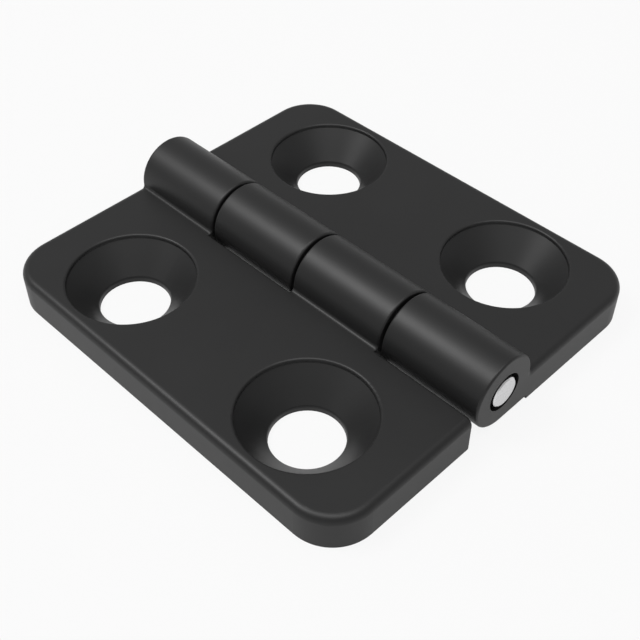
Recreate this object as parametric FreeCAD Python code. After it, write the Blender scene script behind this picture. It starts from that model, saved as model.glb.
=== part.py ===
import FreeCAD, Part
import math
import os

from FreeCAD import Vector

# Butt hinge with two moulded leaves and one steel pin, for countersunk screws.
# The hinge lies open and flat. Z is up, and z = 0 is the plane of both mounting faces.
# Y runs along the pin, and x = 0, y = 0 is the middle of the hinge.
# Each leaf is one moulding with two knuckles. The right leaf is the left one turned half a turn
# about Z, so the knuckles of one fill the recesses of the other.

# Leaves
hinge_length = 60.0
open_width = 56.0
leaf_thickness = 5.0
corner_radius = 6.0
top_edge_radius = 1.0

# Knuckles
knuckles_per_leaf = 2
barrel_diameter = 9.9
barrel_lift = 0.38
barrel_end_radius = 0.3
barrel_root_radius = 0.5
knuckle_gap = 0.4
recess_clearance = 0.55
recess_edge_radius = 0.3
relief_clearance = 0.25

# Countersunk screw holes
holes_per_leaf = 2
screw_spacing_along = 32.0
screw_spacing_across = 36.0
screw_hole_diameter = 9.2
sink_diameter = 16.6
sink_angle = 90.0
sink_lip_depth = 0.55
sink_rim_radius = 0.35
sink_throat_radius = 0.5

# Pin
pin_diameter = 4.0
pin_running_clearance = 0.05
pin_chamfer = 0.15
pin_stand_out = 0.1
mouth_diameter = 5.2
mouth_depth = 1.2

# Places that follow from the sizes
barrel_radius = barrel_diameter / 2
pin_radius = pin_diameter / 2
axis_height = barrel_lift + barrel_radius
recess_reach = barrel_radius + recess_clearance
relief_reach = barrel_radius + relief_clearance
knuckle_count = 2 * knuckles_per_leaf
knuckle_length = (hinge_length - (knuckle_count - 1) * knuckle_gap) / knuckle_count
knuckle_pitch = knuckle_length + knuckle_gap
outer_x = -open_width / 2
end_y = hinge_length / 2
tolerance = 1e-6


def knuckle_span(row):
    """Both ends in y of one knuckle. Row 0 is at the far end, and even rows are the left leaf's."""
    far = end_y - row * knuckle_pitch
    return far - knuckle_length, far


def at_angle(centre, radius, degrees):
    """A point on a circle in the x, z plane."""
    angle = math.radians(degrees)
    return centre + Vector(radius * math.cos(angle), 0, radius * math.sin(angle))


def leaf_section():
    """Side outline of a leaf with its knuckle: plate, hollow fillet, barrel and relief below."""
    axis = Vector(0, 0, axis_height)
    root_z = leaf_thickness + barrel_root_radius
    root_reach = barrel_radius + barrel_root_radius
    root_x = -math.sqrt(root_reach ** 2 - (root_z - axis_height) ** 2)
    root = Vector(root_x, 0, root_z)
    meets_top = Vector(root_x, 0, leaf_thickness)
    meets_barrel = root + (axis - root) * (barrel_root_radius / root_reach)
    barrel_direction = math.degrees(math.atan2(meets_barrel.z - root_z, meets_barrel.x - root_x))
    straight_down = -90
    root_middle = at_angle(root, barrel_root_radius, (barrel_direction + straight_down) / 2)

    outer_bottom = Vector(outer_x, 0, 0)
    outer_top = Vector(outer_x, 0, leaf_thickness)
    barrel_front = Vector(barrel_radius, 0, axis_height)
    barrel_bottom = Vector(0, 0, barrel_lift)
    relief_top = Vector(-relief_reach, 0, barrel_lift)
    relief_bottom = Vector(-relief_reach, 0, 0)
    return Part.Face(Part.Wire([
        Part.makeLine(outer_bottom, outer_top),
        Part.makeLine(outer_top, meets_top),
        Part.Arc(meets_top, root_middle, meets_barrel).toShape(),
        Part.Arc(meets_barrel, barrel_front, barrel_bottom).toShape(),
        Part.makeLine(barrel_bottom, relief_top),
        Part.makeLine(relief_top, relief_bottom),
        Part.makeLine(relief_bottom, outer_bottom),
    ]))


def recess_for(row):
    """Space that one knuckle of the other leaf needs, past the hinge's end on the last row."""
    near, far = knuckle_span(row)
    length = far - near + 2 * knuckle_gap
    height = axis_height + barrel_radius + 2 * recess_clearance
    corner = Vector(-recess_reach, near - knuckle_gap, -recess_clearance)
    return Part.makeBox(2 * recess_reach, length, height, corner)


def is_upright(edge):
    box = edge.BoundBox
    return box.XLength < tolerance and box.YLength < tolerance


def is_on_top(edge):
    box = edge.BoundBox
    return box.ZLength < tolerance and abs(box.ZMin - leaf_thickness) < tolerance


def is_along_recess(edge):
    box = edge.BoundBox
    return is_on_top(edge) and abs(box.XMin + recess_reach) < tolerance and box.XLength < tolerance


def round_corners(leaf):
    """The two outer corners in plan."""
    corners = [e for e in leaf.Edges if is_upright(e) and e.BoundBox.XMin < outer_x + tolerance]
    return leaf.makeFillet(corner_radius, corners)


def edge_radius(edge):
    """Rounding of an edge, or None for an edge that stays sharp or takes it from its neighbours.

    The hollow fillet's edge at the leaf's end is left to its neighbours, so that the rounding
    runs smoothly from the plate's radius to the barrel's smaller one.
    """
    box = edge.BoundBox
    at_leaf_end = abs(abs(box.YMin) - end_y) < tolerance
    is_outer = box.XMax < -recess_reach + tolerance
    if is_along_recess(edge):
        return None
    if is_on_top(edge) and (is_outer or at_leaf_end):
        return top_edge_radius
    if is_outer or box.YLength > tolerance or box.ZMin < barrel_lift - tolerance:
        return None
    is_root = box.XMax < 0 and box.ZMin > leaf_thickness - tolerance and not is_on_top(edge)
    return None if is_root and at_leaf_end else barrel_end_radius


def round_edges(leaf):
    """Top edges of the plate, and the end edges of the knuckles, in one set of fillets."""
    document = FreeCAD.newDocument("edges")
    blank = document.addObject("Part::Feature", "blank")
    blank.Shape = leaf
    fillet = document.addObject("Part::Fillet", "fillet")
    fillet.Base = blank
    numbered = [(number, edge_radius(edge)) for number, edge in enumerate(leaf.Edges, 1)]
    fillet.Edges = [(number, radius, radius) for number, radius in numbered if radius]
    document.recompute()
    rounded = fillet.Shape.copy()
    FreeCAD.closeDocument(document.Name)
    return rounded


def screw_hole(x, y):
    """Clearance hole, rounded throat, cone, short upright lip and rounded rim, as one turned cutter."""
    hole_radius = screw_hole_diameter / 2
    sink_radius = sink_diameter / 2
    half_angle = math.radians(sink_angle / 2)
    above = leaf_thickness + sink_lip_depth
    below = -leaf_thickness

    rim_radius = sink_radius + sink_rim_radius
    rim_centre = Vector(rim_radius, 0, leaf_thickness - sink_rim_radius)
    rim_top = Vector(rim_radius, 0, leaf_thickness)
    rim_bottom = Vector(sink_radius, 0, leaf_thickness - sink_rim_radius)
    up_and_inward = 135
    rim_middle = at_angle(rim_centre, sink_rim_radius, up_and_inward)

    lip_bottom = leaf_thickness - sink_lip_depth
    throat_corner_z = lip_bottom - (sink_radius - hole_radius) / math.tan(half_angle)
    throat_run = sink_throat_radius * math.tan(half_angle / 2)
    throat_bottom = Vector(hole_radius, 0, throat_corner_z - throat_run)
    throat_centre = throat_bottom + Vector(sink_throat_radius, 0, 0)
    inward = 180
    throat_top = at_angle(throat_centre, sink_throat_radius, inward - sink_angle / 2)
    throat_middle = at_angle(throat_centre, sink_throat_radius, inward - sink_angle / 4)

    cutter = Part.Face(Part.Wire([
        Part.makeLine(rim_bottom, Vector(sink_radius, 0, lip_bottom)),
        Part.makeLine(Vector(sink_radius, 0, lip_bottom), throat_top),
        Part.Arc(throat_top, throat_middle, throat_bottom).toShape(),
        Part.makeLine(throat_bottom, Vector(hole_radius, 0, below)),
        Part.makeLine(Vector(hole_radius, 0, below), Vector(0, 0, below)),
        Part.makeLine(Vector(0, 0, below), Vector(0, 0, above)),
        Part.makeLine(Vector(0, 0, above), Vector(rim_radius, 0, above)),
        Part.makeLine(Vector(rim_radius, 0, above), rim_top),
        Part.Arc(rim_top, rim_middle, rim_bottom).toShape(),
    ])).revolve(Vector(0, 0, 0), Vector(0, 0, 1), 360)
    cutter.translate(Vector(x, y, 0))
    return cutter


def pin_bore(bore_radius):
    """Bore along the axis, with a wider mouth at the far end of the hinge."""
    start = Vector(0, -hinge_length, axis_height)
    bore = Part.makeCylinder(bore_radius, 2 * hinge_length, start, Vector(0, 1, 0))
    mouth_start = Vector(0, end_y - mouth_depth, axis_height)
    mouth = Part.makeCylinder(mouth_diameter / 2, 2 * mouth_depth, mouth_start, Vector(0, 1, 0))
    return bore.fuse(mouth)


def make_leaf(bore_radius):
    """The left leaf, which has the even rows of knuckles."""
    blank = leaf_section().extrude(Vector(0, hinge_length, 0))
    blank.translate(Vector(0, -end_y, 0))
    for row in range(1, knuckle_count, 2):
        blank = blank.cut(recess_for(row))
    leaf = round_edges(round_corners(blank))
    leaf = leaf.makeFillet(recess_edge_radius, [e for e in leaf.Edges if is_along_recess(e)])
    first_hole = -screw_spacing_along * (holes_per_leaf - 1) / 2
    for number in range(holes_per_leaf):
        y = first_hole + number * screw_spacing_along
        leaf = leaf.cut(screw_hole(-screw_spacing_across / 2, y))
    return leaf.cut(pin_bore(bore_radius))


def make_pin():
    """Straight pin that stands out a little from both ends of the barrel."""
    start = Vector(0, -end_y - pin_stand_out, axis_height)
    pin = Part.makeCylinder(pin_radius, hinge_length + 2 * pin_stand_out, start, Vector(0, 1, 0))
    ends = [e for e in pin.Edges if e.BoundBox.YLength < tolerance]
    return pin.makeChamfer(pin_chamfer, ends)


def single_solid(shape):
    """The shape as one clean solid."""
    return shape.removeSplitter().Solids[0]


left_leaf = make_leaf(pin_radius)
right_leaf = make_leaf(pin_radius + pin_running_clearance)
right_leaf.rotate(Vector(0, 0, 0), Vector(0, 0, 1), 180)

os.makedirs("parts", exist_ok=True)
for name, shape in (("left_leaf", left_leaf), ("right_leaf", right_leaf), ("hinge_pin", make_pin())):
    solid = single_solid(shape)
    solid.exportStep(f"parts/{name}.step")
    print(name, "valid", solid.isValid(), "volume", round(solid.Volume, 1), "mm3")
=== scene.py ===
# %% [markdown]
# A moulded butt hinge, lying open
#
# The hinge is two black plastic leaves on one steel pin. Each leaf is a single moulding: a plate
# with two countersunk screw holes, and two knuckles that fill the gaps of the other leaf. All of
# that has a real shape and a real size already, so it comes from the packed part, and this script
# gives it what a camera sees: finishes, a floor, light and a viewpoint.
# One unit is one metre here, so the script writes its own small lengths as so many times `mm`.

# %% Load the part
from math import tau

import bpy
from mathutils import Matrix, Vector


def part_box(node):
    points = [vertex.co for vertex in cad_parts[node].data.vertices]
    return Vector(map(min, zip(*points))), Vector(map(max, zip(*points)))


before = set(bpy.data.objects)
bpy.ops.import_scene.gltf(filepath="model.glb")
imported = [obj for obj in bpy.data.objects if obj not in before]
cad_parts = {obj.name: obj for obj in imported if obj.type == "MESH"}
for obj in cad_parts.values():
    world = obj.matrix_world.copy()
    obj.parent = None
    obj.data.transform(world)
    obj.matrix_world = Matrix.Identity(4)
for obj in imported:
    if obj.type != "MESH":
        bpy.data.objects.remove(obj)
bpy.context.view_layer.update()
bpy.ops.object.select_all(action="DESELECT")

mm = 0.001
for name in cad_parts:
    low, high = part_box(name)
    print(name, "is", " by ".join(f"{side / mm:.2f}" for side in high - low), "mm")

# %% [markdown]
# Writing shader maths the way it is said
#
# A finish is a graph of nodes. Built one node and one link at a time, even a small sum becomes
# many lines. A value class lets the sums be written as sums: each operator adds Math nodes and
# hands back their output, and a number may come first, as in `1 - mask`. Any other node comes from
# one method, which sets the node's own choices before it fills its sockets, because some choices
# change which sockets there are.

# %% A small language for finishes
class Value:
    """The output of a shader node, with sums written as Python writes them."""

    def __init__(self, finish, socket):
        self.finish = finish
        self.socket = socket

    def math(self, operation, *others):
        """One Math node with this value first."""
        sockets = dict(enumerate((self, *others)))
        return self.finish.node("ShaderNodeMath", {"operation": operation}, sockets)

    def __add__(self, other):
        return self.math("ADD", other)

    def __mul__(self, other):
        return self.math("MULTIPLY", other)

    def __rsub__(self, other):
        return self * -1 + other

    __radd__ = __add__
    __rmul__ = __mul__


class Finish:
    """The nodes that make a material, or the room all round."""

    def __init__(self, owner):
        self.owner = owner
        self.owner.use_nodes = True
        self.tree = self.owner.node_tree
        self.tree.nodes.clear()

    def node(self, kind, settings, sockets, output=0):
        """Adds a node, sets its choices, fills its sockets and gives one of its outputs."""
        node = self.tree.nodes.new(kind)
        for key, setting in settings.items():
            setattr(node, key, setting)
        for key, value in sockets.items():
            if isinstance(value, Value):
                self.tree.links.new(value.socket, node.inputs[key])
            else:
                node.inputs[key].default_value = value
        return None if output is None else Value(self, node.outputs[output])

    def place(self):
        """Where a point lies on the piece, in metres."""
        return self.node("ShaderNodeTexCoord", {}, {}, "Object")

    def noise(self, width, detail=2.0):
        """Soft irregular patches from 0 to 1, of about the given width."""
        sockets = {"Vector": self.place(), "Scale": 1 / width, "Detail": detail}
        return self.node("ShaderNodeTexNoise", {}, sockets, "Fac")

    def stretch(self, value, start, end, low, high):
        """Maps start to end onto low to high, and holds still outside."""
        sockets = {"Value": value, "From Min": start, "From Max": end, "To Min": low, "To Max": high}
        return self.node("ShaderNodeMapRange", {"clamp": True}, sockets)

    def spread(self, noise, low, high):
        """Stretches the middle half of a noise, where most of it lies, over low to high."""
        return self.stretch(noise, 0.25, 0.75, low, high)

    def blend(self, factor, first, second):
        """From the first colour to the second as the factor goes from 0 to 1."""
        # A Mix node has like-named sockets for each kind of data, so its colour ones go by number.
        first_colour, second_colour, mixed_colour = 6, 7, 2
        sockets = {"Factor": factor, first_colour: (*first, 1), second_colour: (*second, 1)}
        return self.node("ShaderNodeMix", {"data_type": "RGBA"}, sockets, mixed_colour)

    def bump(self, height, depth):
        """Surface relief: a height from 0 to 1 times a depth in metres."""
        sockets = {"Height": height, "Distance": depth, "Strength": 1.0}
        return self.node("ShaderNodeBump", {}, sockets, "Normal")

    def seen(self, mirrored=1.0):
        """1 for what the camera sees, as much as given in a mirror, and 0 for plain light."""
        camera, glossy, through = [self.node("ShaderNodeLightPath", {}, {}, f"Is {kind} Ray")
                                   for kind in ("Camera", "Glossy", "Transmission")]
        return camera.math("MAXIMUM", glossy.math("MAXIMUM", through) * mirrored)

    def surface(self, shader, end="ShaderNodeOutputMaterial"):
        """Puts the shader on the output."""
        self.node(end, {}, {"Surface": shader}, output=None)
        return self.owner


print("a finish has", ", ".join(name for name in vars(Finish) if not name.startswith("_")))

# %% [markdown]
# The plastic of the leaves
#
# The leaves are moulded in a black, glass-filled plastic, such as polyamide. Straight from the
# mould it has a dull sheen: the colour is near black, and nearly all that is seen is a soft
# reflection of the room. A single dark grey would look like paper, so three small things change
# over the surface. The colour drifts a little where glass fibres lie near the skin, the sheen
# drifts with it, and a very fine grain from the spark-eroded mould breaks up the reflection.
# The grain is a quarter of a millimetre wide and less than a thousandth of one deep. All of it is
# read from Object coordinates, so it stays on the leaf when the leaf turns.

# %% Black moulded plastic
def black_plastic():
    """Near-black plastic with a dull sheen and a fine moulded grain."""
    finish = Finish(bpy.data.materials.new("black moulded plastic"))
    drift = finish.spread(finish.noise(width=9 * mm), 0, 1)
    grain = finish.noise(width=0.25 * mm)
    colour = finish.blend(drift, (0.0098, 0.0098, 0.0099), (0.0114, 0.0114, 0.0115))
    dullness = finish.spread(finish.noise(width=4 * mm), 0.41, 0.43) + grain * 0.02
    return finish.surface(finish.node("ShaderNodeBsdfPrincipled", {}, {
        "Base Color": colour,
        "Roughness": dullness,
        "IOR": 1.43,
        "Normal": finish.bump(grain, depth=0.0006 * mm),
    }))


leaf_plastic = black_plastic()
print(leaf_plastic.name, "has", len(leaf_plastic.node_tree.nodes), "nodes")

# %% [markdown]
# The steel of the pin
#
# The pin is a length of bright drawn steel, cut and faced, and little more than its ends is seen.
# Facing on a lathe leaves fine rings about the pin's axis, and they follow from how far a point
# lies from that axis. It runs along y at the height of the pin's middle, so the distance is worked
# out from x and z alone. A little noise makes the rings uneven. They change the sheen and the
# relief, and the metal's colour drifts slightly.

# %% Bright turned steel
def bright_steel(axis_height, ring_width=0.12 * mm, unevenness=5):
    """Bright steel with fine turning rings about the pin's axis."""
    finish = Finish(bpy.data.materials.new("bright turned steel"))
    off_axis = finish.node("ShaderNodeVectorMath", {"operation": "MULTIPLY_ADD"}, {
        0: finish.place(), 1: (1, 0, 1), 2: (0, 0, -axis_height)})
    reach = finish.node("ShaderNodeVectorMath", {"operation": "LENGTH"}, {0: off_axis}, "Value")
    cloud = finish.noise(width=0.6 * mm)
    wave = (reach * (tau / ring_width) + cloud * unevenness).math("SINE")
    rings = wave * 0.5 + 0.5
    return finish.surface(finish.node("ShaderNodeBsdfPrincipled", {}, {
        "Base Color": finish.blend(cloud, (0.72, 0.72, 0.73), (0.80, 0.80, 0.81)),
        "Metallic": 1.0,
        "Roughness": finish.spread(cloud, 0.24, 0.34) + rings * 0.05,
        "Normal": finish.bump(rings, depth=0.0008 * mm),
    }))


pin_low, pin_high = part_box("hinge_pin")
pin_axis_height = (pin_low.z + pin_high.z) / 2
pin_steel = bright_steel(pin_axis_height)
print(f"the pin's axis is {pin_axis_height / mm:.2f} mm above the mounting faces")

# %% [markdown]
# Putting the finishes on the pieces
#
# A packed piece keeps its shape, and only its material slots are filled. The mesh comes as loose
# triangles with true normals, so its roundings already shade smoothly and nothing is smoothed.

# %% Dress the pieces
finishes = {"left_leaf": leaf_plastic, "right_leaf": leaf_plastic, "hinge_pin": pin_steel}
for name, material in finishes.items():
    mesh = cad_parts[name].data
    mesh.materials.clear()
    mesh.materials.append(material)
    print(name, "is finished in", material.name)

# %% [markdown]
# A white floor
#
# The part lies on a wide white sheet. The lamps light it like any paint, so the part's shadow falls
# on it. To the camera it is mostly clear, and the even white of the room below shows through. Far
# from the part it is wholly clear, so the floor runs into the white of the room with no line
# between them. A leaf that swings down past the floor also stays in sight. What a shiny surface
# mirrors of the sheet is clear to a smaller share, so that the foot of the part mirrors some of its
# own shadow.

# %% White sheet
def white_sheet(near=0.12, far=0.5):
    """White paint that the camera sees through, more so from near the part to far from it."""
    finish = Finish(bpy.data.materials.new("white sheet"))
    reach = finish.node("ShaderNodeVectorMath", {"operation": "LENGTH"}, {0: finish.place()}, "Value")
    clearness = finish.stretch(reach, near, far, 0.9, 1.0)
    return finish.surface(finish.node("ShaderNodeMixShader", {}, {
        "Fac": finish.seen(mirrored=0.65) * clearness,
        1: finish.node("ShaderNodeBsdfDiffuse", {}, {"Color": (0.56, 0.56, 0.56, 1)}),
        2: finish.node("ShaderNodeBsdfTransparent", {}, {}),
    }))


def make_sheet(radius=1.5, below=0.02 * mm):
    """A wide disc just under the part."""
    bpy.ops.mesh.primitive_circle_add(vertices=96, radius=radius, fill_type="NGON",
                                      location=(0, 0, -below))
    sheet = bpy.context.object
    sheet.name = "white sheet"
    sheet.data.materials.append(white_sheet())
    return sheet


floor = make_sheet()
print("the sheet is", round(floor.dimensions.x, 2), "m across")

# %% [markdown]
# Soft light
#
# Two softboxes and a grey room light the part. The smaller and brighter one hangs behind it, to the
# left and high, where the barrel mirrors it towards the camera, so it draws the long soft line on
# the knuckles and the thin one on the leaves' rounded edges. The wider one hangs nearly overhead,
# catches the rims of the countersinks and lightens the floor. The room is the same grey all round,
# and turns white only at the horizon and below, for the camera and for mirrors. Black plastic shows
# little colour of its own, and its shape is read from these reflections.

# %% Lamps and room
def softbox(name, direction, distance, width, power):
    """A square soft lamp in that direction from the part, turned to face it."""
    away = Vector(direction).normalized()
    bpy.ops.object.light_add(type="AREA", location=away * distance)
    lamp = bpy.context.object
    lamp.name = name
    lamp.rotation_euler = away.to_track_quat("Z", "Y").to_euler()
    lamp.data.size = width
    lamp.data.energy = power
    print(name, "hangs", distance, "m away and gives", power, "W")


def grey_room(grey, white, horizon=0.02, above=0.10):
    """Grey all round, and white from a little above the horizon down, where it is seen."""
    finish = Finish(bpy.data.worlds.new("grey room"))
    direction = finish.node("ShaderNodeTexCoord", {}, {}, "Generated")
    height = finish.node("ShaderNodeSeparateXYZ", {}, {"Vector": direction}, "Z")
    low = 1 - finish.stretch(height, horizon, above, 0, 1)
    shade = finish.blend(low * finish.seen(), (grey,) * 3, (white,) * 3)
    background = finish.node("ShaderNodeBackground", {}, {"Color": shade})
    return finish.surface(background, end="ShaderNodeOutputWorld")


softbox("softbox behind", direction=(-0.36, 0.43, 0.83), distance=0.8, width=0.3, power=2.85)
softbox("softbox overhead", direction=(-0.08, -0.12, 1.0), distance=0.8, width=0.5, power=2.75)
bpy.context.scene.world = grey_room(grey=0.446, white=0.995)
bpy.context.scene.view_settings.view_transform = "Standard"
print("the room is", bpy.context.scene.world.name)

# %% [markdown]
# The viewpoint
#
# The camera looks down at the corner of the part from half a right angle. It is close, so the far
# corner is drawn about a third smaller than the near one. Its place is written in the part's own
# millimetres. It is aimed at a point on the floor near the middle of the hinge, and its near
# clipping distance is brought in, because the part is only a hand's breadth from the lens.

# %% Camera
camera_place = Vector((-72.05, -72.03, 97.76)) * mm
camera_aim = Vector((-2.879, -3.008, 0)) * mm

bpy.ops.object.camera_add(location=camera_place)
camera = bpy.context.object
camera.rotation_euler = (camera_place - camera_aim).to_track_quat("Z", "Y").to_euler()
camera.data.lens = 60.08
camera.data.sensor_width = 36
camera.data.clip_start = 0.005
bpy.context.scene.camera = camera
print("the camera is", round((camera_place - camera_aim).length / mm), "mm from its aim")

# %% [markdown]
# The part's size
#
# The box of each piece is written down once, as soon as the part is loaded.
